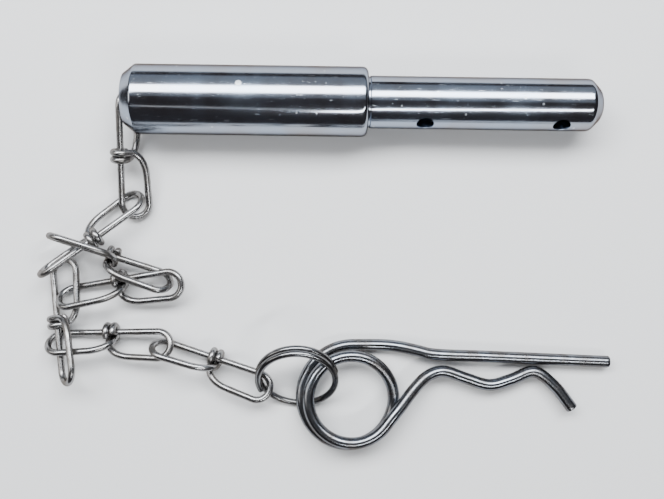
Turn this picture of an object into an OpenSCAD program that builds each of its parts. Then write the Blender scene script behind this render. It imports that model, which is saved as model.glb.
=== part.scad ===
// Hitch pin lock: a stepped implement hitch pin, a tether of knotted wire links,
// a split ring and a double-coil R-clip that locks the pin through its shank.
// +X runs along the pin towards the shank tip, +Z is up, and the origin is on the
// pin's axis at the shoulder where the thick body steps down to the shank.

/* [Pin] */
// Diameter of the thick body
body_d = 25.4; // [20:0.1:32]
// Length of the thick body, from the shoulder to the head face
body_len = 88.8; // [70:0.1:120]
// Diameter of the shank
shank_d = 19; // [14:0.1:19.6]
// Length of the shank, from the shoulder to the tip
shank_len = 85; // [70:0.5:110]
// Chamfer round the head face
head_chamfer = 3.3; // [1:0.1:4]
// Length of the head's chamfer along the pin
head_chamfer_len = 4.3; // [1:0.1:6]
// Chamfer round the shank tip
tip_chamfer = 4.2; // [1:0.1:5]
// Rounding of the shoulder's edge
shoulder_round = 2.4; // [0.5:0.1:3]

/* [Cross holes] */
// Diameter of the two holes for the R-clip
clip_hole_d = 5.8; // [5:0.1:7]
// Distance from the shoulder to the inner hole
inner_hole_x = 20.6; // [12:0.1:30]
// Distance from the shoulder to the outer hole
outer_hole_x = 69.8; // [50:0.1:78]
// How far the holes lean over from upright
clip_hole_lean = 62; // [0:1:90]

/* [Tether] */
// Wire diameter of the chain links
link_wire_d = 2.5; // [2:0.1:2.6]
// Half the length of a link, from its knot to the middle of its end wire
link_half = 23.2; // [18:0.1:28]
// Distance between the two legs of a loop
leg_gap = 10; // [8:0.1:12]
// Width of the curved slot that holds the first link
eye_w = 3.8; // [3.4:0.1:4.4]

/* [Split ring] */
// Wire diameter of the ring
ring_wire_d = 2.4; // [1.8:0.1:2.4]
// Radius of the ring's wire centre
ring_r = 14.2; // [12:0.1:18]

/* [R-clip] */
// Wire diameter of the clip
clip_wire_d = 4.4; // [3:0.1:4.4]
// Radius of the upper coil's wire centre
coil_r = 16; // [14:0.1:18]
// How far the lower coil spreads out before the straight leg leaves it
coil_spread = 4; // [2:0.1:6]

/* [Hidden] */
body_r = body_d / 2;
shank_r = shank_d / 2;

// Relief groove at the root of the shank, as turned beside a shoulder
groove_w = 0.7;
groove_depth = 0.3;
// Small edge break on the face of the shank tip
tip_break = 0.8;
// How far the slot's side mouth is flared, in degrees, how far it runs, and how
// far its straight sides lie inside its round part
eye_swing_up = 30;
eye_swing_down = 6;
eye_reach = 18;
eye_overlap = 0.1;

// Link: radius and half pitch of the two tight turns at the knot
wrap_r = 2.64;
wrap_x = 1.33;
wrap_start = 64;
wrap_end = 325;
// Link: where the return leg leaves its straight run, and its gap there
dive_x = 7;
dive_gap = 9.3;
// Link: pull of the curve that bends the return leg into its turn
dive_pull_x = 1.5;
dive_pull_gap = 8.8;
approach = 2.2;
approach_pull = 3.2;

// Where each link lies: knot position, then heading, rise, and the roll of the
// loop behind the knot and of the loop ahead of it, in degrees
LINK_POSES = [
    [[-90.9, -20.5, -3.6], [-91, -16, -60, -8.5]],
    [[-99.6, -51.3, -1.1], [-142, 10.5, 224, 252.5]],
    [[-93.8, -57.7, -5.9], [-17.5, -9.5, 83, 129.5]],
    [[-91.6, -66.5, -8.2], [10.5, 8, 132, 182.5]],
    [[-114.9, -82.8, -8.6], [-81.5, 8.5, 17, 52]],
    [[-94.6, -86.3, -8.6], [2.5, 7.5, 131, 168]],
    [[-55.2, -95.4, -8.1], [-17, 5, 117.5, 172.5]],
];
// Where the ring and the clip lie: centre, then rotations about X, Y and Z
RING_POSE = [[-24.5, -101.5, -2.1], [38, 11, -13]];
CLIP_POSE = [[-4.2, -109.6, -5.8], [-5, 1.5, 0.5]];

// Ring: the double stretch starts here, and one turn later the wire steps over
ring_start = 25;
ring_step = [225, 385];
ring_end = 580;
ring_rise = 1.26;

// Clip: angles where the coil starts, drops a wire's width, spreads and ends
coil_start = -33;
coil_drop = [-270, -393];
coil_end = -633;
coil_rise = 2.32;
// Clip: the leg with two humps, from the coil to its free end
WAVY_LEG = [
    [18.4, -2.6], [23.6, 4], [28.6, 8.6], [34.7, 10.3], [43.3, 7.6], [52, 5.2],
    [60.5, 7.4], [68.8, 10.2], [76.3, 5], [83, -3.6],
];
// Clip: the straight leg, from the coil to its tip
STRAIGHT_LEG = [
    [12, 19.95], [18.5, 19.3], [25, 17.9], [31.9, 16.5], [50, 15.8], [75, 14.8], [97.3, 13.9],
];

link_sides = 8;
clip_sides = 10;
bore_fn = 64;

zinc = [0.78, 0.79, 0.82];
spring_steel = [0.42, 0.42, 0.45];

// ---- vectors and curves ----

function unit(v) = v / norm(v);
function smooth(t) = let (c = max(0, min(1, t))) c * c * (3 - 2 * c);

// A cubic Bezier curve through n steps, without its first point
function bezier(a, b, c, d, n) = [
    for (i = [1:n]) let (t = i / n, s = 1 - t)
        s * s * s * a + 3 * s * s * t * b + 3 * s * t * t * c + t * t * t * d
];

// A Catmull-Rom curve through points p, n steps between each pair
function spline(p, n) = [
    for (i = [0:len(p) - 2], k = [0:n - 1])
        let (
            b = p[i],
            c = p[i + 1],
            a = i > 0 ? p[i - 1] : 2 * b - c,
            d = i < len(p) - 2 ? p[i + 2] : 2 * c - b,
            t = k / n
        )
        0.5 * (2 * b + (c - a) * t + (2 * a - 5 * b + 4 * c - d) * t * t
            + (3 * b - a - 3 * c + d) * t * t * t),
    p[len(p) - 1],
];

function reverse(p) = [for (i = [len(p) - 1:-1:0]) p[i]];
function tail(p) = [for (i = [1:len(p) - 1]) p[i]];

// ---- round wire swept along a path ----

function tangent(p, i) =
    unit(p[min(i + 1, len(p) - 1)] - p[max(i - 1, 0)]);
function square_to(n, t) = unit(n - (n * t) * t);
function any_side(t) = abs(t[2]) < 0.9 ? cross(t, [0, 0, 1]) : cross(t, [1, 0, 0]);

// One normal per point, each carried over from the last with the least twist
function normals(p) = [
    for (
        i = 0, n = unit(any_side(tangent(p, 0)));
        i < len(p);
        i = i + 1, n = i < len(p) ? square_to(n, tangent(p, i)) : n
    ) n
];

module wire(p, d, sides) {
    ns = normals(p);
    // corners stand a little outside the wire, so that the flats average its radius
    r = d / 2 * (1 + 1 / cos(180 / sides)) / 2;
    points = [
        for (i = [0:len(p) - 1])
            let (t = tangent(p, i), n = ns[i], b = cross(t, n))
            for (k = [0:sides - 1])
                p[i] + r * (cos(360 * k / sides) * n + sin(360 * k / sides) * b)
    ];
    sides_faces = [
        for (i = [0:len(p) - 2], k = [0:sides - 1])
            let (a = i * sides + k, b = i * sides + (k + 1) % sides)
            each [[a, a + sides, b], [b, a + sides, b + sides]]
    ];
    last = (len(p) - 1) * sides;
    start_cap = [for (k = [0:sides - 1]) k];
    end_cap = [for (k = [sides - 1:-1:0]) last + k];
    polyhedron(points, concat([start_cap], sides_faces, [end_cap]), convexity = 10);
}

// ---- a knotted link ----

function rolled(p, a) = [
    for (v = p) [v[0], v[1] * cos(a) - v[2] * sin(a), v[1] * sin(a) + v[2] * cos(a)]
];

// Half a link, from its knot out along the common leg, round the end and back to
// a tight turn about the common leg on the other side of the knot
function half_link() =
    let (
        r = leg_gap / 2,
        reach = link_half - r,
        touch = [-wrap_x, wrap_r * cos(wrap_start), wrap_r * sin(wrap_start)],
        heading = [0, -sin(wrap_start), cos(wrap_start)],
        dive = [dive_x, dive_gap, 0],
        meet = touch - approach * heading
    )
    concat(
        [for (i = [1:5]) [reach * i / 5, 0, 0]],
        [for (a = [-75:15:90]) [reach + r * cos(a), r + r * sin(a), 0]],
        [for (i = [1:3]) [reach, leg_gap, 0] + (dive - [reach, leg_gap, 0]) * i / 3],
        bezier(
            dive,
            [dive_pull_x, dive_pull_gap, 0],
            meet - approach_pull * heading,
            meet,
            8
        ),
        [
            for (i = [0:13]) let (a = wrap_start + (wrap_end - wrap_start) * i / 13)
                [-wrap_x, wrap_r * cos(a), wrap_r * sin(a)]
        ]
    );

// The whole wire in the link's own frame, with each loop rolled about the leg
function link_path(roll_back, roll_ahead) =
    let (half = half_link(), back = [for (v = half) [-v[0], v[1], v[2]]])
    concat(
        reverse(rolled(back, roll_back)),
        [[0, 0, 0]],
        rolled(half, roll_ahead)
    );

// Link frame to part frame: along the leg, level to its left, and up
function laid(v, heading, rise) =
    let (
        u = [cos(rise) * cos(heading), cos(rise) * sin(heading), sin(rise)],
        left = [-sin(heading), cos(heading), 0]
    )
    v[0] * u + v[1] * left + v[2] * cross(u, left);

module chain_link(i) {
    at = LINK_POSES[i][0];
    lie = LINK_POSES[i][1];
    path = [for (v = link_path(lie[2], lie[3])) at + laid(v, lie[0], lie[1])];
    color(zinc) wire(path, link_wire_d, link_sides);
}

// ---- the pin ----

// Half section of the turned bar: [distance along +X, radius] swapped for revolving
function shoulder_arc() = [
    for (a = [90:-15:0])
        [body_r - shoulder_round + shoulder_round * sin(a), -shoulder_round + shoulder_round * cos(a)]
];

module turned_bar() {
    rotate([0, 90, 0])
        rotate_extrude($fn = 96)
            polygon(concat(
                [
                    [0, -body_len],
                    [body_r - head_chamfer, -body_len],
                    [body_r, -body_len + head_chamfer_len],
                ],
                shoulder_arc(),
                [
                    [shank_r - groove_depth, 0],
                    [shank_r - groove_depth, groove_w],
                    [shank_r, groove_w + groove_depth],
                    [shank_r, shank_len - tip_chamfer],
                    [shank_r - tip_chamfer + tip_break, shank_len - tip_break],
                    [shank_r - tip_chamfer - tip_break, shank_len],
                    [0, shank_len],
                ]
            ));
}

module clip_hole(x) {
    translate([x, 0, 0])
        rotate([clip_hole_lean, 0, 0])
            cylinder(h = 2 * body_d, d = clip_hole_d, center = true, $fn = bore_fn);
}

function polar(r, a) = r * [cos(a), sin(a)];

// The slot that holds the first link's end, in the plane of the link's loop: half
// a ring, and a fan for the return leg so that the link can swing up and down
module eye_outline() {
    outer = leg_gap / 2 + eye_w / 2;
    inner = leg_gap / 2 - eye_w / 2;
    lower = 90 + eye_swing_down;
    upper = 90 - eye_swing_up;
    difference() {
        circle(r = outer, $fn = bore_fn);
        circle(r = inner, $fn = bore_fn);
        polygon([
            [0, 0],
            polar(2 * outer, upper),
            polar(3 * outer, upper / 2),
            polar(3 * outer, -upper / 2),
            polar(2 * outer, -90),
        ]);
    }
    polygon([
        polar(outer - eye_overlap, lower),
        polar(outer - eye_overlap, lower) + polar(eye_reach, eye_swing_down),
        polar(inner + eye_overlap, upper) + polar(eye_reach, -eye_swing_up),
        polar(inner + eye_overlap, upper),
    ]);
}

module chain_eye() {
    lie = LINK_POSES[0][1];
    translate(LINK_POSES[0][0])
        rotate([0, 0, lie[0]])
            rotate([0, -lie[1], 0])
                rotate([lie[2], 0, 0])
                    translate([leg_gap / 2 - link_half, leg_gap / 2, 0])
                        linear_extrude(height = eye_w, center = true)
                            eye_outline();
}

module hitch_pin() {
    color(zinc)
        difference() {
            turned_bar();
            clip_hole(inner_hole_x);
            clip_hole(outer_hole_x);
            chain_eye();
        }
}

// ---- the split ring ----

function ring_path() = [
    for (a = [ring_start:7.5:ring_end])
        let (s = smooth((a - ring_step[0]) / (ring_step[1] - ring_step[0])))
        [ring_r * cos(a), ring_r * sin(a), ring_rise * (2 * s - 1)]
];

module split_ring() {
    color(spring_steel)
        translate(RING_POSE[0])
            rotate(RING_POSE[1])
                wire(ring_path(), ring_wire_d, link_sides);
}

// ---- the R-clip ----

function coil_point(a) =
    let (
        r = coil_r + coil_spread * max(0, coil_drop[1] - a) / (coil_drop[1] - coil_end),
        s = smooth((coil_drop[0] - a) / (coil_drop[0] - coil_drop[1]))
    )
    [r * cos(a), r * sin(a), coil_rise * (1 - 2 * s)];

// Both legs leave their own coil's level and settle at the level between them
function wavy_leg() = [
    for (v = spline(concat([flat(coil_point(coil_start))], WAVY_LEG), 4))
        [v[0], v[1], coil_rise * (1 - smooth((v[0] - 14) / 22))]
];
function straight_leg() = [
    for (v = spline(concat([flat(coil_point(coil_end))], STRAIGHT_LEG), 3))
        [v[0], v[1], -coil_rise * (1 - smooth((v[0] - 8) / 28))]
];
function flat(v) = [v[0], v[1]];

function clip_path() = concat(
    reverse(tail(wavy_leg())),
    [for (a = [coil_start:-12:coil_end]) coil_point(a)],
    tail(straight_leg())
);

module r_clip() {
    color(spring_steel)
        translate(CLIP_POSE[0])
            rotate(CLIP_POSE[1])
                wire(clip_path(), clip_wire_d, clip_sides);
}

hitch_pin();
chain_link(0);  // chain_link_1
chain_link(1);  // chain_link_2
chain_link(2);  // chain_link_3
chain_link(3);  // chain_link_4
chain_link(4);  // chain_link_5
chain_link(5);  // chain_link_6
chain_link(6);  // chain_link_7
split_ring();
r_clip();
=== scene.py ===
"""Hitch pin lock: a stepped pin tethered by knotted wire links to a split ring and an R-clip.

Every length is in millimetres until a surface is put into its mesh, which is in metres. The
row frame has +X along the pin towards the shank tip, +Z up, and its origin on the pin's axis
at the shoulder.
"""

import logging
import math
from dataclasses import dataclass, field
from enum import Enum

import bpy
import numpy as np
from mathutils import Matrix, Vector


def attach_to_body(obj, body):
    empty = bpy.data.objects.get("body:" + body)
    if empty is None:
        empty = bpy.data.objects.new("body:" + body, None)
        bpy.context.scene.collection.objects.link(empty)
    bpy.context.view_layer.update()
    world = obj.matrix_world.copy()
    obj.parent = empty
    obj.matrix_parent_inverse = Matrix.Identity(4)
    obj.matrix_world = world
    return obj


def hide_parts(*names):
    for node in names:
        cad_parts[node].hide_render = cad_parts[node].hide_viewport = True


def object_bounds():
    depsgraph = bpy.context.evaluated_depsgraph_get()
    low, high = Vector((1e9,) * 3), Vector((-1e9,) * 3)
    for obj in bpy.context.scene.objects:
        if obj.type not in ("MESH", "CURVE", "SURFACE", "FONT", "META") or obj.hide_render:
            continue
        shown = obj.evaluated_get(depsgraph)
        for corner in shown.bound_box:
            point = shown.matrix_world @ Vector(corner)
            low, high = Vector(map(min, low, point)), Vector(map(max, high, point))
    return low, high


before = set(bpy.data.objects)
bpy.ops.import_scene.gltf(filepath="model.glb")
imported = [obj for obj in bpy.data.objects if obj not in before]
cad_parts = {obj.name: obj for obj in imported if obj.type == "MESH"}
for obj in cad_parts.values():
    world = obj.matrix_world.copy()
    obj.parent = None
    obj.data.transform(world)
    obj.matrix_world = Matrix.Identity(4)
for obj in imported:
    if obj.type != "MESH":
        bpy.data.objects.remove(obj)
CAD_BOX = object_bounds()

LOG = logging.getLogger("hitch_pin_lock")
MM = 0.001


class Slot(Enum):
    """The record's material slots."""

    PLATE = "zinc_plated_steel"
    SPRING = "spring_steel"


# ---------------------------------------------------------------- curves and surfaces


def smooth_step(t: np.ndarray) -> np.ndarray:
    """3t^2 - 2t^3 on t held between 0 and 1."""
    held = np.clip(t, 0.0, 1.0)
    return held * held * (3.0 - 2.0 * held)


def straight(start: np.ndarray, end: np.ndarray, steps: int) -> np.ndarray:
    """Points a + (b - a) t for t = 1/steps ... 1.

    Args:
        start: The point the run leaves, which isn't repeated.
        end: The last point.
        steps: How many points are returned.

    Returns:
        Array of shape (steps, 3).
    """
    t = np.linspace(0.0, 1.0, steps + 1)[1:, None]
    return start + (end - start) * t


def bezier(a: np.ndarray, b: np.ndarray, c: np.ndarray, d: np.ndarray, steps: int) -> np.ndarray:
    """Cubic Bezier s^3 a + 3 s^2 t b + 3 s t^2 c + t^3 d with s = 1 - t, without its first point.

    Args:
        a: Start point.
        b: First handle.
        c: Second handle.
        d: End point.
        steps: How many points are returned.

    Returns:
        Array of shape (steps, 3).
    """
    t = np.linspace(0.0, 1.0, steps + 1)[1:, None]
    s = 1.0 - t
    return s**3 * a + 3 * s * s * t * b + 3 * s * t * t * c + t**3 * d


def catmull_rom(knots: np.ndarray, steps: int) -> np.ndarray:
    """Catmull-Rom curve through the knots, with straight-line ghosts past both ends.

    Args:
        knots: Array of shape (n, 2).
        steps: Points for each span.

    Returns:
        Array of shape ((n - 1) * steps + 1, 2).
    """
    ghosts = np.vstack([2 * knots[0] - knots[1], knots, 2 * knots[-1] - knots[-2]])
    a, b, c, d = (ghosts[i : len(ghosts) - 3 + i, None, :] for i in range(4))
    t = np.linspace(0.0, 1.0, steps, endpoint=False)[None, :, None]
    spans = 0.5 * (
        2 * b + (c - a) * t + (2 * a - 5 * b + 4 * c - d) * t**2 + (3 * b - a - 3 * c + d) * t**3
    )
    return np.vstack([spans.reshape(-1, knots.shape[1]), knots[-1:]])


def turn_x(points: np.ndarray, degrees: float) -> np.ndarray:
    """Rotation about X by the right-hand rule, in degrees."""
    c, s = math.cos(math.radians(degrees)), math.sin(math.radians(degrees))
    return points @ np.array([[1.0, 0.0, 0.0], [0.0, c, -s], [0.0, s, c]]).T


def turned(points: np.ndarray, roll: float, pitch: float, yaw: float) -> np.ndarray:
    """Rotation about X by roll, then about Y by pitch, then about Z by yaw.

    Args:
        points: Array of shape (..., 3).
        roll: Degrees about X.
        pitch: Degrees about Y.
        yaw: Degrees about Z.

    Returns:
        The turned points.
    """
    cp, sp = math.cos(math.radians(pitch)), math.sin(math.radians(pitch))
    cy, sy = math.cos(math.radians(yaw)), math.sin(math.radians(yaw))
    about_y = np.array([[cp, 0.0, sp], [0.0, 1.0, 0.0], [-sp, 0.0, cp]])
    about_z = np.array([[cy, -sy, 0.0], [sy, cy, 0.0], [0.0, 0.0, 1.0]])
    return turn_x(points, roll) @ about_y.T @ about_z.T


def even_path(points: np.ndarray, spacing: float, easing: int) -> np.ndarray:
    """The same route with evenly spaced points, eased by a [1 2 1]/4 running mean.

    Args:
        points: Route of shape (n, 3).
        spacing: Distance between the new points.
        easing: How many times the running mean is taken. The ends stay put.

    Returns:
        Array of shape (m, 3).
    """
    length = np.concatenate([[0.0], np.cumsum(np.linalg.norm(np.diff(points, axis=0), axis=1))])
    count = int(round(length[-1] / spacing)) + 1
    along = np.linspace(0.0, length[-1], count)
    route = np.column_stack([np.interp(along, length, points[:, k]) for k in range(3)])
    for _ in range(easing):
        route[1:-1] = 0.25 * route[:-2] + 0.5 * route[1:-1] + 0.25 * route[2:]
    return route


def carried_normals(tangents: np.ndarray) -> np.ndarray:
    """One normal per point: n - t (n . t), made unit length, carried from point to point.

    Args:
        tangents: Unit tangents of shape (n, 3).

    Returns:
        Unit normals of shape (n, 3), with the least twist along the path.
    """
    normals = np.empty_like(tangents)
    side = np.cross(tangents[0], [0.0, 0.0, 1.0] if abs(tangents[0, 2]) < 0.9 else [1.0, 0.0, 0.0])
    for i, tangent in enumerate(tangents):
        side = side - tangent * (side @ tangent)
        side = side / np.linalg.norm(side)
        normals[i] = side
    return normals


@dataclass(frozen=True)
class WireEnds:
    """How a cut wire end looks: a flat face with a small rounded edge."""

    edge: float = 0.35
    stations: int = 4


def wire_surface(
    path: np.ndarray, radius: float, sides: int, ends: WireEnds, flatness: float = 0.0
) -> tuple[np.ndarray, np.ndarray]:
    """A round wire: p(s) + r(s) (cos a n(s) + sin a b(s)), with n and b square to the path.

    Near both ends r(s) follows a quarter circle of the edge's radius, so that the cut face
    meets the side in a rounded edge. Flatness pulls the section towards a rounded square.

    Args:
        path: Centre line of shape (n, 3), evenly spaced.
        radius: Wire radius.
        sides: Points round the wire.
        ends: The cut ends' edge.
        flatness: 0 for a round section, up to about 0.1.

    Returns:
        The grid of shape (stations, sides, 3), and for each of its points the place on the
        wire: cos a, sin a and the distance along it, all in millimetres.
    """
    quarter = np.linspace(0.0, math.pi / 2, ends.stations)
    inset = ends.edge * (1.0 - np.sin(quarter))
    shrink = ends.edge * (1.0 - np.cos(quarter))
    first = path[1] - path[0]
    last = path[-2] - path[-1]
    first, last = first / np.linalg.norm(first), last / np.linalg.norm(last)
    keep = int(math.ceil(ends.edge / np.linalg.norm(path[1] - path[0])))
    start = path[0] + first * shrink[:, None]
    finish = path[-1] + last * shrink[::-1, None]
    route = np.vstack([start, path[keep + 1 : -keep - 1], finish])
    radii = np.full(len(route), radius)
    radii[: ends.stations] = radius - inset
    radii[-ends.stations :] = radius - inset[::-1]

    step = np.gradient(route, axis=0)
    tangents = step / np.linalg.norm(step, axis=1, keepdims=True)
    tangents[: ends.stations] = first
    tangents[-ends.stations :] = -last
    normals = carried_normals(tangents)
    binormals = np.cross(tangents, normals)

    angle = np.linspace(0.0, 2 * math.pi, sides, endpoint=False)
    section = 1.0 - flatness * np.cos(2 * angle) ** 2
    ring = radii[:, None] * section[None, :]
    grid = (
        route[:, None, :]
        + (ring * np.cos(angle))[..., None] * normals[:, None, :]
        + (ring * np.sin(angle))[..., None] * binormals[:, None, :]
    )
    along = np.concatenate([[0.0], np.cumsum(np.linalg.norm(np.diff(route, axis=0), axis=1))])
    place = np.stack(
        [
            radius * np.cos(angle)[None, :] + 0.0 * ring,
            radius * np.sin(angle)[None, :] + 0.0 * ring,
            along[:, None] + 0.0 * ring,
        ],
        axis=-1,
    )
    return grid, place


def revolved(profile: np.ndarray, sides: int) -> np.ndarray:
    """A turned surface: (x, r) becomes (x, r cos a, r sin a).

    Args:
        profile: Array of shape (n, 2) of distances along the axis and radii.
        sides: Points round the axis.

    Returns:
        Grid of shape (n, sides, 3).
    """
    angle = np.linspace(0.0, 2 * math.pi, sides, endpoint=False)
    x = np.repeat(profile[:, :1], sides, axis=1)
    return np.stack([x, profile[:, 1:] * np.cos(angle), profile[:, 1:] * np.sin(angle)], axis=-1)


def tube_faces(rows: int, sides: int) -> list[list[int]]:
    """Quads between neighbouring rows of a closed grid, and one polygon over each end.

    Args:
        rows: Rows in the grid.
        sides: Points in each row.

    Returns:
        The faces, as lists of point numbers.
    """
    i, k = np.meshgrid(np.arange(rows - 1), np.arange(sides), indexing="ij")
    right = (k + 1) % sides
    quads = np.stack(
        [i * sides + k, i * sides + right, (i + 1) * sides + right, (i + 1) * sides + k], axis=-1
    ).reshape(-1, 4)
    first = list(range(sides))[::-1]
    last = [(rows - 1) * sides + k for k in range(sides)]
    return quads.tolist() + [first, last]


def signed_volume(points: np.ndarray, faces: list[list[int]]) -> float:
    """Volume inside the faces: the sum of (a x b) . c / 6 over their triangles.

    Args:
        points: Array of shape (n, 3).
        faces: Faces as lists of point numbers.

    Returns:
        The volume, below zero if the faces point inwards.
    """
    fans = [(f[0], f[j], f[j + 1]) for f in faces for j in range(1, len(f) - 1)]
    a, b, c = (points[np.array(fans)[:, j]] for j in range(3))
    return float(np.einsum("ij,ij->i", np.cross(a, b), c).sum() / 6.0)


def surface_object(
    name: str, grid: np.ndarray, place: np.ndarray | None, crease: float
) -> bpy.types.Object:
    """Puts a closed grid into a mesh in metres, with its faces outwards.

    Args:
        name: The object's name.
        grid: Points of shape (rows, sides, 3), in millimetres.
        place: The same shape, or None: kept with the points as the attribute wire_place.
        crease: Edges sharper than this angle, in degrees, stay sharp.

    Returns:
        The new object, at the origin.
    """
    rows, sides = grid.shape[:2]
    points = grid.reshape(-1, 3) * MM
    faces = tube_faces(rows, sides)
    if signed_volume(points, faces) < 0:
        faces = [f[::-1] for f in faces]
    mesh = bpy.data.meshes.new(name)
    mesh.from_pydata(points.tolist(), [], faces)
    if place is not None:
        layer = mesh.attributes.new("wire_place", "FLOAT_VECTOR", "POINT")
        layer.data.foreach_set("vector", (place.reshape(-1, 3) * MM).ravel())
    smooth_faces(mesh, crease)
    made = bpy.data.objects.new(name, mesh)
    bpy.context.scene.collection.objects.link(made)
    return made


def smooth_faces(mesh: bpy.types.Mesh, crease: float) -> None:
    """Shades every face smooth and keeps edges sharper than the crease angle sharp.

    Args:
        mesh: The mesh.
        crease: The angle in degrees.
    """
    mesh.polygons.foreach_set("use_smooth", np.ones(len(mesh.polygons), dtype=bool))
    mesh.set_sharp_from_angle(angle=math.radians(crease))
    mesh.update()


def cut_with(solid: bpy.types.Object, cutters: list[bpy.types.Object], crease: float) -> None:
    """Takes each cutter away from the solid and deletes the cutters.

    Args:
        solid: The object that is cut. It keeps its name, with a new mesh.
        cutters: Closed objects.
        crease: Angle in degrees for sharp edges afterwards.
    """
    for cutter in cutters:
        modifier = solid.modifiers.new(cutter.name, "BOOLEAN")
        modifier.operation = "DIFFERENCE"
        modifier.solver = "EXACT"
        modifier.object = cutter
    graph = bpy.context.evaluated_depsgraph_get()
    made = bpy.data.meshes.new_from_object(solid.evaluated_get(graph))
    solid.modifiers.clear()
    solid.data = made
    for cutter in cutters:
        bpy.data.objects.remove(cutter)
    smooth_faces(made, crease)


# ---------------------------------------------------------------- finishes


@dataclass(frozen=True)
class TurnedPlate:
    """Bright zinc plate on a turned bar: fine lathe lines, handling scratches and flecks, and a
    painted brown reflection at grazing angles.
    """

    name: str = "bright_zinc_on_turned_bar"
    cool: tuple[float, float, float] = (0.33, 0.38, 0.46)
    warm: tuple[float, float, float] = (0.32, 0.33, 0.36)
    worn: tuple[float, float, float] = (0.62, 0.66, 0.70)
    # Painted reflection: a brown tint on the grazing-angle reflections, standing in for a brown
    # room and table that the scene does not have.
    edge: tuple[float, float, float] = (0.24, 0.19, 0.15)
    polish: float = 0.10
    dull: float = 0.20
    chip_at: tuple[float, float, float] = (-46.2, 3.9, 12.1)
    chip_radius: float = 1.25


@dataclass(frozen=True)
class DrawnWire:
    """Plated wire: lines along its length, patchy tone, small dark pits, and a painted warm
    reflection at grazing angles.
    """

    name: str
    light: tuple[float, float, float]
    dark: tuple[float, float, float]
    polish: float
    dull: float
    line_depth: float
    # Painted reflection: a warm tint on the grazing-angle reflections, standing in for a brown
    # room and table that the scene does not have.
    edge: tuple[float, float, float] = (0.45, 0.41, 0.38)


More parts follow.
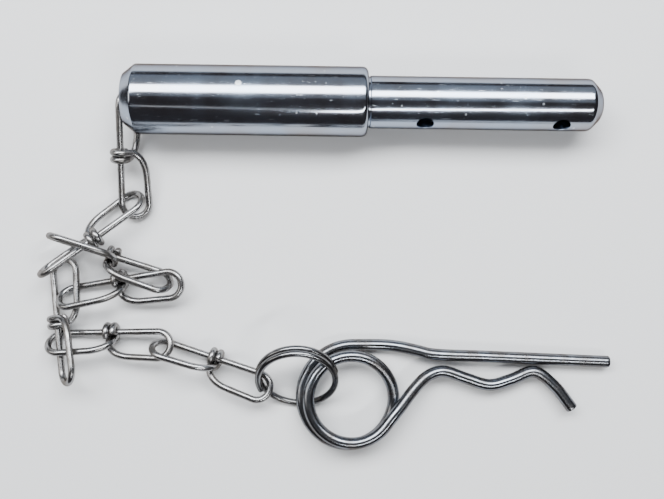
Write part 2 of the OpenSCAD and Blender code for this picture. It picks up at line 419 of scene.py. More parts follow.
def turned_plate_material(finish: TurnedPlate) -> bpy.types.Material:
    """The pin's finish.

    Args:
        finish: Its colours and roughness.

    Returns:
        The material.
    """
    material = bpy.data.materials.new(finish.name)
    material.use_nodes = True
    nodes, links = material.node_tree.nodes, material.node_tree.links
    nodes.clear()

    output = nodes.new("ShaderNodeOutputMaterial")
    output.label = "Pin surface"
    output.location = (1500, 0)

    steel = nodes.new("ShaderNodeBsdfPrincipled")
    steel.label = "Bright zinc plate"
    steel.location = (1200, 0)
    steel.inputs["Metallic"].default_value = 1.0
    steel.inputs["Anisotropic"].default_value = 0.35
    # Painted reflection: the edge tint turns grazing reflections brown, in place of a brown
    # surround.
    steel.inputs["Specular Tint"].default_value = (*finish.edge, 1.0)

    where = nodes.new("ShaderNodeTexCoord")
    where.label = "Place on the bar"
    where.location = (-1500, 0)

    tone_frame = nodes.new("NodeFrame")
    tone_frame.label = "Plating tone"

    tone = nodes.new("ShaderNodeTexNoise")
    tone.label = "Uneven plating"
    tone.location = (-900, 500)
    tone.parent = tone_frame
    tone.inputs["Scale"].default_value = 60.0
    tone.inputs["Detail"].default_value = 4.0
    tone.inputs["Roughness"].default_value = 0.6

    tint = nodes.new("ShaderNodeValToRGB")
    tint.label = "Cool to warm plate"
    tint.location = (-600, 500)
    tint.parent = tone_frame
    tint.color_ramp.elements[0].position = 0.35
    tint.color_ramp.elements[0].color = (*finish.warm, 1.0)
    tint.color_ramp.elements[1].position = 0.62
    tint.color_ramp.elements[1].color = (*finish.cool, 1.0)

    lathe_frame = nodes.new("NodeFrame")
    lathe_frame.label = "Lathe lines"

    lathe_map = nodes.new("ShaderNodeMapping")
    lathe_map.label = "Lines run round the bar"
    lathe_map.location = (-1200, 100)
    lathe_map.parent = lathe_frame
    lathe_map.inputs["Scale"].default_value = (4200.0, 60.0, 60.0)

    lathe = nodes.new("ShaderNodeTexNoise")
    lathe.label = "Fine turning marks"
    lathe.location = (-900, 100)
    lathe.parent = lathe_frame
    lathe.inputs["Scale"].default_value = 1.0
    lathe.inputs["Detail"].default_value = 3.0
    lathe.inputs["Roughness"].default_value = 0.7

    scratch_frame = nodes.new("NodeFrame")
    scratch_frame.label = "Handling scratches"

    scratch_map = nodes.new("ShaderNodeMapping")
    scratch_map.label = "Scratches lean across the bar"
    scratch_map.location = (-1200, -300)
    scratch_map.parent = scratch_frame
    scratch_map.inputs["Rotation"].default_value = (0.0, 0.0, 0.95)
    scratch_map.inputs["Scale"].default_value = (140.0, 2600.0, 500.0)

    scratch = nodes.new("ShaderNodeTexNoise")
    scratch.label = "Scratch field"
    scratch.location = (-900, -300)
    scratch.parent = scratch_frame
    scratch.inputs["Scale"].default_value = 1.0
    scratch.inputs["Detail"].default_value = 5.0
    scratch.inputs["Roughness"].default_value = 0.75

    scratch_cut = nodes.new("ShaderNodeValToRGB")
    scratch_cut.label = "Only the deepest scratches"
    scratch_cut.location = (-600, -300)
    scratch_cut.parent = scratch_frame
    scratch_cut.color_ramp.elements[0].position = 0.66
    scratch_cut.color_ramp.elements[0].color = (0.0, 0.0, 0.0, 1.0)
    scratch_cut.color_ramp.elements[1].position = 0.72
    scratch_cut.color_ramp.elements[1].color = (1.0, 1.0, 1.0, 1.0)

    cross_map = nodes.new("ShaderNodeMapping")
    cross_map.label = "Long scratches run with the bar"
    cross_map.location = (-1200, -650)
    cross_map.parent = scratch_frame
    cross_map.inputs["Rotation"].default_value = (0.0, 0.0, -0.28)
    cross_map.inputs["Scale"].default_value = (110.0, 3000.0, 700.0)

    cross = nodes.new("ShaderNodeTexNoise")
    cross.label = "Long scratch field"
    cross.location = (-900, -650)
    cross.parent = scratch_frame
    cross.inputs["Scale"].default_value = 1.0
    cross.inputs["Detail"].default_value = 4.0
    cross.inputs["Roughness"].default_value = 0.7

    cross_cut = nodes.new("ShaderNodeValToRGB")
    cross_cut.label = "Only the deepest long scratches"
    cross_cut.location = (-600, -650)
    cross_cut.parent = scratch_frame
    cross_cut.color_ramp.elements[0].position = 0.66
    cross_cut.color_ramp.elements[0].color = (0.0, 0.0, 0.0, 1.0)
    cross_cut.color_ramp.elements[1].position = 0.73
    cross_cut.color_ramp.elements[1].color = (1.0, 1.0, 1.0, 1.0)

    flecks = nodes.new("ShaderNodeTexVoronoi")
    flecks.label = "Flecks in the plate"
    flecks.location = (-900, -1000)
    flecks.parent = scratch_frame
    flecks.inputs["Scale"].default_value = 170.0
    flecks.inputs["Randomness"].default_value = 1.0

    fleck_cut = nodes.new("ShaderNodeMapRange")
    fleck_cut.label = "Small round flecks"
    fleck_cut.location = (-600, -1000)
    fleck_cut.parent = scratch_frame
    fleck_cut.inputs["From Min"].default_value = 0.10
    fleck_cut.inputs["From Max"].default_value = 0.06
    fleck_cut.inputs["To Min"].default_value = 0.0
    fleck_cut.inputs["To Max"].default_value = 0.7

    chip_reach = nodes.new("ShaderNodeVectorMath")
    chip_reach.label = "Distance from the chip"
    chip_reach.location = (-900, -1300)
    chip_reach.parent = scratch_frame
    chip_reach.operation = "DISTANCE"
    chip_reach.inputs[1].default_value = tuple(c * MM for c in finish.chip_at)

    chip = nodes.new("ShaderNodeMapRange")
    chip.label = "Bright chip"
    chip.location = (-600, -1300)
    chip.parent = scratch_frame
    chip.inputs["From Min"].default_value = finish.chip_radius * MM
    chip.inputs["From Max"].default_value = 0.8 * finish.chip_radius * MM

    either = nodes.new("ShaderNodeMath")
    either.label = "Either kind of scratch"
    either.location = (-300, -450)
    either.parent = scratch_frame
    either.operation = "MAXIMUM"

    marks = nodes.new("ShaderNodeMath")
    marks.label = "Scratches and flecks"
    marks.location = (-100, -600)
    marks.parent = scratch_frame
    marks.operation = "MAXIMUM"

    wear = nodes.new("ShaderNodeMath")
    wear.label = "Scratches, flecks and chip"
    wear.location = (100, -700)
    wear.parent = scratch_frame
    wear.operation = "MAXIMUM"

    colour = nodes.new("ShaderNodeMix")
    colour.label = "Worn metal shows through"
    colour.location = (500, 400)
    colour.data_type = "RGBA"
    colour.inputs["B"].default_value = (*finish.worn, 1.0)

    gloss = nodes.new("ShaderNodeMapRange")
    gloss.label = "Polish varies with the plate"
    gloss.location = (200, 100)
    gloss.inputs["From Min"].default_value = 0.3
    gloss.inputs["From Max"].default_value = 0.75
    gloss.inputs["To Min"].default_value = finish.polish
    gloss.inputs["To Max"].default_value = finish.dull

    rough = nodes.new("ShaderNodeMath")
    rough.label = "Scratches scatter light"
    rough.location = (700, 50)
    rough.operation = "MULTIPLY_ADD"
    rough.inputs[1].default_value = 0.22

    lathe_bump = nodes.new("ShaderNodeBump")
    lathe_bump.label = "Turning marks in relief"
    lathe_bump.location = (700, -250)
    lathe_bump.inputs["Strength"].default_value = 0.06
    lathe_bump.inputs["Distance"].default_value = 0.00006

    wear_bump = nodes.new("ShaderNodeBump")
    wear_bump.label = "Scratches cut in"
    wear_bump.location = (950, -300)
    wear_bump.invert = True
    wear_bump.inputs["Strength"].default_value = 0.25
    wear_bump.inputs["Distance"].default_value = 0.00006

    grain = nodes.new("ShaderNodeTangent")
    grain.label = "Grain runs round the bar"
    grain.location = (950, -550)
    grain.direction_type = "RADIAL"
    grain.axis = "X"

    links.new(where.outputs["Object"], tone.inputs["Vector"])
    links.new(tone.outputs["Fac"], tint.inputs["Fac"])
    links.new(where.outputs["Object"], lathe_map.inputs["Vector"])
    links.new(lathe_map.outputs["Vector"], lathe.inputs["Vector"])
    links.new(where.outputs["Object"], scratch_map.inputs["Vector"])
    links.new(scratch_map.outputs["Vector"], scratch.inputs["Vector"])
    links.new(scratch.outputs["Fac"], scratch_cut.inputs["Fac"])
    links.new(where.outputs["Object"], cross_map.inputs["Vector"])
    links.new(cross_map.outputs["Vector"], cross.inputs["Vector"])
    links.new(cross.outputs["Fac"], cross_cut.inputs["Fac"])
    links.new(where.outputs["Object"], flecks.inputs["Vector"])
    links.new(flecks.outputs["Distance"], fleck_cut.inputs["Value"])
    links.new(where.outputs["Object"], chip_reach.inputs[0])
    links.new(chip_reach.outputs["Value"], chip.inputs["Value"])
    links.new(scratch_cut.outputs["Color"], either.inputs[0])
    links.new(cross_cut.outputs["Color"], either.inputs[1])
    links.new(either.outputs["Value"], marks.inputs[0])
    links.new(fleck_cut.outputs["Result"], marks.inputs[1])
    links.new(marks.outputs["Value"], wear.inputs[0])
    links.new(chip.outputs["Result"], wear.inputs[1])
    links.new(tint.outputs["Color"], colour.inputs["A"])
    links.new(wear.outputs["Value"], colour.inputs["Factor"])
    links.new(colour.outputs["Result"], steel.inputs["Base Color"])
    links.new(tone.outputs["Fac"], gloss.inputs["Value"])
    links.new(wear.outputs["Value"], rough.inputs[0])
    links.new(gloss.outputs["Result"], rough.inputs[2])
    links.new(rough.outputs["Value"], steel.inputs["Roughness"])
    links.new(lathe.outputs["Fac"], lathe_bump.inputs["Height"])
    links.new(lathe_bump.outputs["Normal"], wear_bump.inputs["Normal"])
    links.new(wear.outputs["Value"], wear_bump.inputs["Height"])
    links.new(wear_bump.outputs["Normal"], steel.inputs["Normal"])
    links.new(grain.outputs["Tangent"], steel.inputs["Tangent"])
    links.new(steel.outputs["BSDF"], output.inputs["Surface"])
    return material


def drawn_wire_material(finish: DrawnWire) -> bpy.types.Material:
    """The finish of a plated wire, with its lines following the wire.

    Args:
        finish: Its colours, roughness and line depth.

    Returns:
        The material.
    """
    material = bpy.data.materials.new(finish.name)
    material.use_nodes = True
    nodes, links = material.node_tree.nodes, material.node_tree.links
    nodes.clear()

    output = nodes.new("ShaderNodeOutputMaterial")
    output.label = "Wire surface"
    output.location = (1200, 0)

    steel = nodes.new("ShaderNodeBsdfPrincipled")
    steel.label = "Plated wire"
    steel.location = (900, 0)
    steel.inputs["Metallic"].default_value = 1.0
    # Painted reflection: the edge tint warms grazing reflections, in place of a brown surround.
    steel.inputs["Specular Tint"].default_value = (*finish.edge, 1.0)

    wire_place = nodes.new("ShaderNodeAttribute")
    wire_place.label = "Place round and along the wire"
    wire_place.location = (-1200, 0)
    wire_place.attribute_name = "wire_place"

    where = nodes.new("ShaderNodeTexCoord")
    where.label = "Place in the chain"
    where.location = (-1200, 400)

    tone_frame = nodes.new("NodeFrame")
    tone_frame.label = "Plating tone"

    tone = nodes.new("ShaderNodeTexNoise")
    tone.label = "Patchy plate"
    tone.location = (-600, 500)
    tone.parent = tone_frame
    tone.inputs["Scale"].default_value = 160.0
    tone.inputs["Detail"].default_value = 5.0
    tone.inputs["Roughness"].default_value = 0.65

    tint = nodes.new("ShaderNodeValToRGB")
    tint.label = "Dark to light plate"
    tint.location = (-300, 500)
    tint.parent = tone_frame
    tint.color_ramp.elements[0].position = 0.36
    tint.color_ramp.elements[0].color = (*finish.dark, 1.0)
    tint.color_ramp.elements[1].position = 0.60
    tint.color_ramp.elements[1].color = (*finish.light, 1.0)

    line_frame = nodes.new("NodeFrame")
    line_frame.label = "Drawing lines"

    line_map = nodes.new("ShaderNodeMapping")
    line_map.label = "Lines run along the wire"
    line_map.location = (-900, 0)
    line_map.parent = line_frame
    line_map.inputs["Scale"].default_value = (2600.0, 2600.0, 40.0)

    lines = nodes.new("ShaderNodeTexNoise")
    lines.label = "Die lines"
    lines.location = (-600, 0)
    lines.parent = line_frame
    lines.inputs["Scale"].default_value = 1.0
    lines.inputs["Detail"].default_value = 3.0
    lines.inputs["Roughness"].default_value = 0.6

    pit_frame = nodes.new("NodeFrame")
    pit_frame.label = "Pits and grime"

    pits = nodes.new("ShaderNodeTexVoronoi")
    pits.label = "Scattered pits"
    pits.location = (-600, -400)
    pits.parent = pit_frame
    pits.inputs["Scale"].default_value = 420.0

    pit_cut = nodes.new("ShaderNodeMapRange")
    pit_cut.label = "Small dark pits"
    pit_cut.location = (-300, -400)
    pit_cut.parent = pit_frame
    pit_cut.inputs["From Min"].default_value = 0.07
    pit_cut.inputs["From Max"].default_value = 0.04

    colour = nodes.new("ShaderNodeMix")
    colour.label = "Pits are dark"
    colour.location = (300, 400)
    colour.data_type = "RGBA"
    colour.inputs["B"].default_value = (*(0.45 * c for c in finish.dark), 1.0)

    gloss = nodes.new("ShaderNodeMapRange")
    gloss.label = "Dull where the plate is dark"
    gloss.location = (0, 150)
    gloss.inputs["From Min"].default_value = 0.65
    gloss.inputs["From Max"].default_value = 0.32
    gloss.inputs["To Min"].default_value = finish.polish
    gloss.inputs["To Max"].default_value = finish.dull

    rough = nodes.new("ShaderNodeMath")
    rough.label = "Pits scatter light"
    rough.location = (500, 100)
    rough.operation = "MULTIPLY_ADD"
    rough.inputs[1].default_value = 0.25

    line_bump = nodes.new("ShaderNodeBump")
    line_bump.label = "Die lines in relief"
    line_bump.location = (400, -200)
    line_bump.inputs["Strength"].default_value = finish.line_depth
    line_bump.inputs["Distance"].default_value = 0.00005

    pit_bump = nodes.new("ShaderNodeBump")
    pit_bump.label = "Pits sink in"
    pit_bump.location = (650, -300)
    pit_bump.invert = True
    pit_bump.inputs["Strength"].default_value = 0.2
    pit_bump.inputs["Distance"].default_value = 0.00005

    links.new(where.outputs["Object"], tone.inputs["Vector"])
    links.new(tone.outputs["Fac"], tint.inputs["Fac"])
    links.new(wire_place.outputs["Vector"], line_map.inputs["Vector"])
    links.new(line_map.outputs["Vector"], lines.inputs["Vector"])
    links.new(where.outputs["Object"], pits.inputs["Vector"])
    links.new(pits.outputs["Distance"], pit_cut.inputs["Value"])
    links.new(tint.outputs["Color"], colour.inputs["A"])
    links.new(pit_cut.outputs["Result"], colour.inputs["Factor"])
    links.new(colour.outputs["Result"], steel.inputs["Base Color"])
    links.new(tone.outputs["Fac"], gloss.inputs["Value"])
    links.new(pit_cut.outputs["Result"], rough.inputs[0])
    links.new(gloss.outputs["Result"], rough.inputs[2])
    links.new(rough.outputs["Value"], steel.inputs["Roughness"])
    links.new(lines.outputs["Fac"], line_bump.inputs["Height"])
    links.new(line_bump.outputs["Normal"], pit_bump.inputs["Normal"])
    links.new(pit_cut.outputs["Result"], pit_bump.inputs["Height"])
    links.new(pit_bump.outputs["Normal"], steel.inputs["Normal"])
    links.new(steel.outputs["BSDF"], output.inputs["Surface"])
    return material


CHAIN_WIRE = DrawnWire(
    name="plated_chain_wire",
    light=(0.34, 0.34, 0.345),
    dark=(0.20, 0.19, 0.18),
    polish=0.20,
    dull=0.36,
    line_depth=0.05,
)
SPRING_WIRE = DrawnWire(
    name="plated_spring_wire",
    light=(0.21, 0.225, 0.25),
    dark=(0.13, 0.125, 0.125),
    polish=0.17,
    dull=0.30,
    line_depth=0.05,
)
RING_WIRE = DrawnWire(
    name="plated_ring_wire",
    light=(0.22, 0.225, 0.235),
    dark=(0.12, 0.115, 0.11),
    polish=0.16,
    dull=0.30,
    line_depth=0.04,
)


# ---------------------------------------------------------------- the pieces


@dataclass(frozen=True)
class LinkPose:
    """Where a link lies: its knot, its heading and rise, and how each loop is rolled."""

    knot: tuple[float, float, float]
    heading: float
    rise: float
    roll_back: float
    roll_ahead: float

    def axes(self) -> np.ndarray:
        """The link's own axes: along it, level to its left, and their cross product.

        Returns:
            Array of shape (3, 3), one axis to a row.
        """
        heading, rise = math.radians(self.heading), math.radians(self.rise)
        along = np.array(
            [
                math.cos(rise) * math.cos(heading),
                math.cos(rise) * math.sin(heading),
                math.sin(rise),
            ]
        )
        left = np.array([-math.sin(heading), math.cos(heading), 0.0])
        return np.vstack([along, left, np.cross(along, left)])


@dataclass
class WireLink:
    """A knotted link: two loops of one wire, each end turned tightly round the shared leg."""

    wire: float = 2.5
    half: float = 23.2
    gap: float = 10.0
    wrap_radius: float = 2.64
    wrap_offset: float = 1.33
    wrap_start: float = 64.0
    wrap_end: float = 325.0
    dive: tuple[float, float] = (7.0, 9.3)
    dive_pull: tuple[float, float] = (1.5, 8.8)
    approach: float = 2.2
    approach_pull: float = 3.2
    sides: int = 24
    spacing: float = 0.45

    def half_route(self) -> np.ndarray:
        """From the knot along the shared leg, round the end, back and round the leg.

        The end is a half circle of half the gap. The return leg bends in with a cubic curve
        that meets the tight turn square on. The turn is (-w, r cos a, r sin a).

        Returns:
            Array of shape (n, 3) in the link's own frame, without the knot's own point.
        """
        bend = self.gap / 2
        reach = self.half - bend
        start = math.radians(self.wrap_start)
        touch = np.array(
            [
                -self.wrap_offset,
                self.wrap_radius * math.cos(start),
                self.wrap_radius * math.sin(start),
            ]
        )
        heading = np.array([0.0, -math.sin(start), math.cos(start)])
        leave = np.array([*self.dive, 0.0])
        meet = touch - self.approach * heading
        a = np.radians(np.linspace(-90.0, 90.0, 37)[1:])
        arc = np.column_stack([reach + bend * np.cos(a), bend + bend * np.sin(a), 0 * a])
        w = np.radians(np.linspace(self.wrap_start, self.wrap_end, 54))
        wrap = np.column_stack(
            [
                np.full_like(w, -self.wrap_offset),
                self.wrap_radius * np.cos(w),
                self.wrap_radius * np.sin(w),
            ]
        )
        return np.vstack(
            [
                straight(np.zeros(3), np.array([reach, 0.0, 0.0]), 20),
                arc,
                straight(arc[-1], leave, 12),
                bezier(
                    leave,
                    np.array([*self.dive_pull, 0.0]),
                    meet - self.approach_pull * heading,
                    meet,
                    32,
                ),
                wrap,
            ]
        )

    def route(self, pose: LinkPose) -> np.ndarray:
        """The whole wire's centre line in the row frame.

        Args:
            pose: Where the link lies.

        Returns:
            Evenly spaced points of shape (n, 3), in millimetres.
        """
        ahead = self.half_route()
        back = ahead * np.array([-1.0, 1.0, 1.0])
        local = np.vstack(
            [
                turn_x(back, pose.roll_back)[::-1],
                np.zeros((1, 3)),
                turn_x(ahead, pose.roll_ahead),
            ]
        )
        return even_path(np.array(pose.knot) + local @ pose.axes(), self.spacing, 3)

    def build(self, name: str, pose: LinkPose) -> bpy.types.Object:
        """Makes one link as a swept wire.

        Args:
            name: The object's name.
            pose: Where the link lies.

        Returns:
            The new object.
        """
        grid, place = wire_surface(self.route(pose), self.wire / 2, self.sides, WireEnds())
        return surface_object(name, grid, place, 40.0)


@dataclass
class Tether:
    """Seven links from the pin's head to the split ring."""

    link: WireLink = field(default_factory=WireLink)
    poses: tuple[LinkPose, ...] = (
        LinkPose((-90.9, -20.5, -3.6), -91, -16, -60, -8.5),
        LinkPose((-99.6, -51.3, -1.1), -142, 10.5, 224, 252.5),
        LinkPose((-93.8, -57.7, -5.9), -17.5, -9.5, 83, 129.5),
        LinkPose((-91.6, -66.5, -8.2), 10.5, 8, 132, 182.5),
        LinkPose((-114.9, -82.8, -8.6), -81.5, 8.5, 17, 52),
        LinkPose((-94.6, -86.3, -8.6), 2.5, 7.5, 131, 168),
        LinkPose((-55.2, -95.4, -8.1), -17, 5, 117.5, 172.5),
    )

    def build(self) -> list[bpy.types.Object]:
        """Makes, dresses and attaches every link.

        Returns:
            The links, from the pin's head on.
        """
        finish = drawn_wire_material(CHAIN_WIRE)
        made = []
        for number, pose in enumerate(self.poses, 1):
            node = f"chain_link_{number}"
            piece = self.link.build(f"{node}_wire", pose)
            attach(piece, node, node, finish)
            made.append(piece)
        return made


@dataclass
class TurnedPin:
    """The stepped bar, with edges rounded as turning and tumbling leave them."""

    body_radius: float = 12.7
    body_length: float = 88.8
    shank_radius: float = 9.5
    shank_length: float = 85.0
    head_chamfer: float = 3.3
    head_chamfer_length: float = 4.3
    tip_chamfer: float = 4.2
    tip_break: float = 0.8
    shoulder_round: float = 2.4
    groove_width: float = 0.7
    groove_depth: float = 0.3
    edge_round: float = 0.5
    hole_radius: float = 2.9
    hole_places: tuple[float, float] = (20.6, 69.8)
    hole_lean: float = 62.0
    flare_inset: float = 0.75
    flare_past: float = 0.6
    flare_widen: float = 0.45
    drill_reach: float = 14.0
    drill_widen: float = 4.0
    centre_radius: float = 0.02
    eye_width: float = 3.8
    eye_reach: float = 18.0
    eye_swing: tuple[float, float] = (-30.0, 6.0)
    sides: int = 240

    def corners(self) -> np.ndarray:
        """The half section's corners.

        Returns:
            Array of shape (n, 3): distance along the axis, radius, and edge rounding.
        """
        body, shank = self.body_radius, self.shank_radius
        core = shank - self.groove_depth
        tip = self.shank_length
        return np.array(
            [
                [-self.body_length, body - self.head_chamfer, 0.35],
                [-self.body_length + self.head_chamfer_length, body, self.edge_round],
                [0.0, body, self.shoulder_round],
                [0.0, core, 0.08],
                [self.groove_width, core, 0.08],
                [self.groove_width + self.groove_depth, shank, 0.12],
                [tip - self.tip_chamfer, shank, 1.2],
                [tip - self.tip_break, shank - self.tip_chamfer + self.tip_break, 0.7],
                [tip, shank - self.tip_chamfer - self.tip_break, 0.6],
            ]
        )

    def profile(self) -> np.ndarray:
        """The half section with each corner replaced by a quadratic curve.

        A corner c of rounding e between neighbours p and q becomes the curve
        (1 - t)^2 a + 2 t (1 - t) c + t^2 b, where a and b lie e along the sides from c.

        Returns:
            Array of shape (n, 2).
        """
        corners = self.corners()
        centre_start = np.array([[corners[0, 0], self.centre_radius, 0.0]])
        centre_end = np.array([[corners[-1, 0], self.centre_radius, 0.0]])
        walk = np.vstack([centre_start, corners, centre_end])
        t = np.linspace(0.0, 1.0, 9)[:, None]
        rounded = [walk[:1, :2]]
        for before, corner, after in zip(walk[:-2], walk[1:-1], walk[2:]):
            back = before[:2] - corner[:2]
            on = after[:2] - corner[:2]
            a = corner[:2] + back / np.linalg.norm(back) * corner[2]
            b = corner[:2] + on / np.linalg.norm(on) * corner[2]
            rounded.append((1 - t) ** 2 * a + 2 * t * (1 - t) * corner[:2] + t**2 * b)
        rounded.append(walk[-1:, :2])
        return self.filled(np.vstack(rounded))

    def filled(self, outline: np.ndarray, longest: float = 2.0) -> np.ndarray:
        """Adds points to long stretches, so that no face is a sliver.

        Args:
            outline: Array of shape (n, 2).
            longest: The longest stretch that is left.

        Returns:
            Array of shape (m, 2).
        """
        parts = []
        for start, end in zip(outline[:-1], outline[1:]):
            steps = max(1, int(math.ceil(np.linalg.norm(end - start) / longest)))
            parts.append(start + (end - start) * np.linspace(0, 1, steps, endpoint=False)[:, None])
        parts.append(outline[-1:])
        return np.vstack(parts)

    def hole_cutter(self, x: float) -> bpy.types.Object:
        """A drill through the shank, flared where it leaves so that the mouths have an edge.

        Args:
            x: Distance of the hole from the shoulder.

        Returns:
            The cutter.
        """
        surface = self.shank_radius
        half = np.array(
            [
                [0.0, 0.0],
                [surface - self.flare_inset, 0.0],
                [surface + self.flare_past, self.flare_widen],
                [self.drill_reach, self.drill_widen],
            ]
        )
        along = np.concatenate([-half[::-1, 0], half[1:, 0]])
        radius = self.hole_radius + np.concatenate([half[::-1, 1], half[1:, 1]])
        grid = revolved(np.column_stack([along, radius]), 96)
        lean = math.radians(self.hole_lean)
        axis = np.array([0.0, -math.sin(lean), math.cos(lean)])
        across = np.array([0.0, math.cos(lean), math.sin(lean)])
        axes = np.vstack([axis, across, np.cross(axis, across)])
        return surface_object("drill", np.array([x, 0.0, 0.0]) + grid @ axes, None, 30.0)

    def eye_cutter(self, link: WireLink, pose: LinkPose) -> bpy.types.Object:
        """The flat slot that lets the first link's end swing in the head.

        Its outline follows the wire's two edges round the link's end, r (cos a, sin a), and
        opens into a fan over the return leg's swing. The outline is carried straight across
        the slot's width.

        Args:
            link: The link's sizes.
            pose: Where the link lies.

        Returns:
            The cutter.
        """
        bend = link.gap / 2
        inner, outer = bend - self.eye_width / 2, bend + self.eye_width / 2
        low, high = self.eye_swing
        near = np.radians(np.linspace(270.0, 90.0 + low, 50))
        far = np.radians(np.linspace(90.0 + high, 270.0, 50))
        fan = np.radians(np.linspace(low, high, 12))
        reach = np.array([self.eye_reach, inner])
        tip = np.array([self.eye_reach, outer])
        start = np.radians(low)
        corner = np.array(
            [
                math.cos(start) * reach[0] - math.sin(start) * reach[1],
                math.sin(start) * reach[0] + math.cos(start) * reach[1],
            ]
        )
        mouth = np.column_stack(
            [
                np.cos(fan) * tip[0] - np.sin(fan) * tip[1],
                np.sin(fan) * tip[0] + np.cos(fan) * tip[1],
            ]
        )
        outline = np.vstack(
            [
                inner * np.column_stack([np.cos(near), np.sin(near)]),
                corner[None, :],
                mouth,
                outer * np.column_stack([np.cos(far), np.sin(far)]),
            ]
        )
        half = self.eye_width / 2
        levels = [np.column_stack([outline, np.full(len(outline), h)]) for h in (-half, half)]
        local = np.stack(levels) + np.array([bend - link.half, bend, 0.0])
        local = turn_x(local, pose.roll_back)
        grid = np.array(pose.knot) + local @ pose.axes()
        return surface_object("eye", grid, None, 30.0)

    def build(self, tether: Tether) -> bpy.types.Object:
        """Turns the bar, drills it and cuts the eye for the chain.

        Args:
            tether: The chain whose first link hangs in the eye.

        Returns:
            The finished pin.
        """
        pin = surface_object("hitch_pin_bar", revolved(self.profile(), self.sides), None, 28.0)
        cutters = [self.hole_cutter(x) for x in self.hole_places]
        cutters.append(self.eye_cutter(tether.link, tether.poses[0]))
        cut_with(pin, cutters, 28.0)
        finish = turned_plate_material(TurnedPlate())
        attach(pin, "pin", "hitch_pin", finish)
        return pin


@dataclass
class SplitRing:
    """A wire ring of about a turn and a half, stepping over itself once."""

    wire: float = 2.4
    radius: float = 14.2
    start: float = 25.0
    step: tuple[float, float] = (225.0, 385.0)
    end: float = 580.0
    rise: float = 1.26
    centre: tuple[float, float, float] = (-24.5, -101.5, -2.1)
    turns: tuple[float, float, float] = (38.0, 11.0, -13.0)

    def route(self) -> np.ndarray:
        """r (cos a, sin a) at a height that goes smoothly from one level to the other.

        Returns:
            Evenly spaced points of shape (n, 3), in millimetres.
        """
        a = np.arange(self.start, self.end + 0.1, 2.5)
        s = smooth_step((a - self.step[0]) / (self.step[1] - self.step[0]))
        t = np.radians(a)
        local = np.column_stack(
            [self.radius * np.cos(t), self.radius * np.sin(t), self.rise * (2 * s - 1)]
        )
        return even_path(np.array(self.centre) + turned(local, *self.turns), 0.5, 1)

    def build(self) -> bpy.types.Object:
        """Makes, dresses and attaches the ring.

        Returns:
            The new object.
        """
        grid, place = wire_surface(self.route(), self.wire / 2, 28, WireEnds(edge=0.3), 0.03)
        ring = surface_object("split_ring_wire", grid, place, 40.0)
        attach(ring, "split_ring", "split_ring", drawn_wire_material(RING_WIRE))
        return ring


@dataclass
class RClip:
    """The double-coil spring clip: a humped leg, two coils and a straight leg."""

    wire: float = 4.4
    coil_radius: float = 16.0
    coil_spread: float = 4.0
    coil_start: float = -33.0
    coil_drop: tuple[float, float] = (-270.0, -393.0)
    coil_end: float = -633.0
    rise: float = 2.32
    humped_settle: tuple[float, float] = (14.0, 22.0)
    straight_settle: tuple[float, float] = (8.0, 28.0)
    humped_leg: tuple[tuple[float, float], ...] = (
        (18.4, -2.6),
        (23.6, 4.0),
        (28.6, 8.6),
        (34.7, 10.3),
        (43.3, 7.6),
        (52.0, 5.2),
        (60.5, 7.4),
        (68.8, 10.2),
        (76.3, 5.0),
        (83.0, -3.6),
    )
    straight_leg: tuple[tuple[float, float], ...] = (
        (12.0, 19.95),
        (18.5, 19.3),
        (25.0, 17.9),
        (31.9, 16.5),
        (50.0, 15.8),
        (75.0, 14.8),
        (97.3, 13.9),
    )
    centre: tuple[float, float, float] = (-4.2, -109.6, -5.8)
    turns: tuple[float, float, float] = (-5.0, 1.5, 0.5)

    def coil(self) -> np.ndarray:
        """r (cos a, sin a): the first turn at r, then spreading, and dropping by a wire.

        Returns:
            Array of shape (n, 3), in the clip's own frame.
        """
        a = np.linspace(self.coil_start, self.coil_end, 301)
        over = np.clip((self.coil_drop[1] - a) / (self.coil_drop[1] - self.coil_end), 0.0, 1.0)
        radius = self.coil_radius + self.coil_spread * over
        s = smooth_step((self.coil_drop[0] - a) / (self.coil_drop[0] - self.coil_drop[1]))
        t = np.radians(a)
        return np.column_stack([radius * np.cos(t), radius * np.sin(t), self.rise * (1 - 2 * s)])

    def leg(
        self, root: np.ndarray, knots: tuple[tuple[float, float], ...], begin: float, run: float
    ) -> np.ndarray:
        """A leg through its knots that settles from its coil's level to the middle level.

        Args:
            root: The coil's end, where the leg starts.
            knots: The leg's points seen along the coil's axis.
            begin: Distance from the coil's centre at which the leg starts to settle.
            run: Distance over which it settles.

        Returns:
            Array of shape (n, 3) without the root.
        """
        flat = catmull_rom(np.vstack([root[None, :2], np.array(knots)]), 14)[1:]
        level = root[2] * (1 - smooth_step((flat[:, 0] - begin) / run))
        return np.column_stack([flat, level])

    def route(self) -> np.ndarray:
        """The whole centre line, from the humped leg's tip to the straight leg's.

        Returns:
            Evenly spaced points of shape (n, 3), in millimetres.
        """
        coil = self.coil()
        humped = self.leg(coil[0], self.humped_leg, *self.humped_settle)
        straight_run = self.leg(coil[-1], self.straight_leg, *self.straight_settle)
        local = np.vstack([humped[::-1], coil, straight_run])
        return even_path(np.array(self.centre) + turned(local, *self.turns), 0.7, 3)

    def build(self) -> bpy.types.Object:
        """Makes, dresses and attaches the clip.

        Returns:
            The new object.
        """
        grid, place = wire_surface(self.route(), self.wire / 2, 40, WireEnds(edge=0.5))
        clip = surface_object("r_clip_wire", grid, place, 40.0)
        attach(clip, "r_clip", "r_clip", drawn_wire_material(SPRING_WIRE))
        return clip


def attach(
    piece: bpy.types.Object, body: str, node: str, finish: bpy.types.Material
) -> None:
    """Gives a piece its finish, its moving body and the CAD node that it stands for.

    Args:
        piece: The finished object.
        body: The body that carries it.
        node: The CAD node that it replaces.
        finish: The material.
    """
    piece.data.materials.clear()
    piece.data.materials.append(finish)
    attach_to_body(piece, body)
    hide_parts(node)
    LOG.info("%s rides on %s with %d faces", piece.name, body, len(piece.data.polygons))


# ---------------------------------------------------------------- the studio


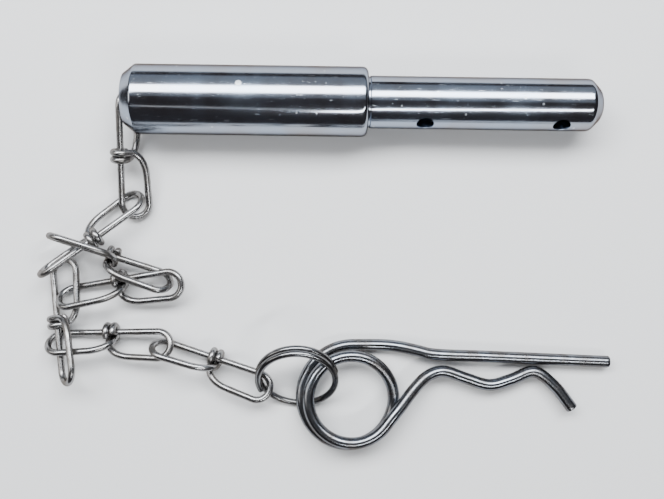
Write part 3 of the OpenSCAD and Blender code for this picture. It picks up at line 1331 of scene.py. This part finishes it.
@dataclass(frozen=True)
class SoftBox:
    """An area light aimed at the middle of the object."""

    name: str
    place: tuple[float, float, float]
    width: float
    height: float
    power: float
    colour: tuple[float, float, float] = (1.0, 1.0, 1.0)


@dataclass
class Studio:
    """A pale floor, soft lights and a camera straight above."""

    floor_colour: tuple[float, float, float] = (0.80, 0.80, 0.80)
    floor_size: float = 12.0
    eye_height: float = 0.300
    lens: float = 44.5
    turn: float = 0.8
    aside: tuple[float, float] = (-0.0042, 0.0040)
    shift: float = 0.0241
    ambient: float = 0.06
    boxes: tuple[SoftBox, ...] = (
        SoftBox("window", (-0.05, 0.42, 0.72), 1.2, 0.33, 21.0, (0.94, 0.97, 1.0)),
        SoftBox("strip", (0.21, -0.385, 0.60), 0.46, 0.05, 2.2, (0.97, 0.99, 1.0)),
        SoftBox("strip_end", (-0.16, -0.36, 0.62), 0.28, 0.03, 0.04),
        SoftBox("sky", (0.0, 0.95, 0.62), 2.4, 0.75, 2.6, (0.78, 0.88, 1.0)),
        SoftBox("glow", (0.0, 0.16, 0.80), 1.4, 0.20, 0.24, (0.74, 0.86, 1.0)),
        SoftBox("fill", (-0.75, 0.05, 0.5), 0.35, 0.5, 1.6, (1.0, 0.97, 0.93)),
    )

    def middle(self) -> Vector:
        """The middle of the CAD model's box."""
        return (CAD_BOX[0] + CAD_BOX[1]) / 2

    def build(self) -> None:
        """Makes the floor, the lights, the sky and the camera."""
        self.lay_floor()
        for box in self.boxes:
            self.hang(box)
        self.light_sky()
        self.set_camera()

    def lay_floor(self) -> None:
        """A matte square under the object's lowest point."""
        half = self.floor_size / 2
        z = CAD_BOX[0].z
        mesh = bpy.data.meshes.new("floor")
        corners = [(-half, -half, z), (half, -half, z), (half, half, z), (-half, half, z)]
        mesh.from_pydata(corners, [], [(0, 1, 2, 3)])
        floor = bpy.data.objects.new("floor", mesh)
        bpy.context.scene.collection.objects.link(floor)
        material = bpy.data.materials.new("pale_floor")
        material.use_nodes = True
        surface = material.node_tree.nodes["Principled BSDF"]
        surface.label = "Matte pale paper"
        surface.inputs["Base Color"].default_value = (*self.floor_colour, 1.0)
        surface.inputs["Roughness"].default_value = 0.9
        surface.inputs["Specular IOR Level"].default_value = 0.2
        mesh.materials.append(material)

    def hang(self, box: SoftBox) -> None:
        """Makes one area light and turns it to the middle of the object.

        Args:
            box: The light's place, size and power.
        """
        light = bpy.data.lights.new(box.name, "AREA")
        light.shape = "RECTANGLE"
        light.size, light.size_y = box.width, box.height
        light.energy = box.power
        light.color = box.colour
        lamp = bpy.data.objects.new(box.name, light)
        bpy.context.scene.collection.objects.link(lamp)
        lamp.location = self.middle() + Vector(box.place)
        lamp.rotation_euler = (-Vector(box.place)).to_track_quat("-Z", "Y").to_euler()

    def light_sky(self) -> None:
        """An even, dim surround."""
        world = bpy.data.worlds.new("studio")
        world.use_nodes = True
        background = world.node_tree.nodes["Background"]
        background.label = "Dim even surround"
        background.inputs["Color"].default_value = (0.92, 0.84, 0.92, 1.0)
        background.inputs["Strength"].default_value = self.ambient
        bpy.context.scene.world = world

    def set_camera(self) -> None:
        """A camera straight above, a little aside from the middle."""
        data = bpy.data.cameras.new("camera")
        data.lens = self.lens
        data.shift_x = self.shift
        data.clip_start = 0.01
        camera = bpy.data.objects.new("camera", data)
        bpy.context.scene.collection.objects.link(camera)
        middle = self.middle()
        camera.location = (middle.x + self.aside[0], middle.y + self.aside[1], self.eye_height)
        camera.rotation_euler = (0.0, 0.0, math.radians(self.turn))
        bpy.context.scene.camera = camera


def main() -> None:
    """Builds the lock and the studio round it."""
    logging.basicConfig(level=logging.INFO)
    tether = Tether()
    TurnedPin().build(tether)
    tether.build()
    SplitRing().build()
    RClip().build()
    Studio().build()


if __name__ == "__main__":
    main()
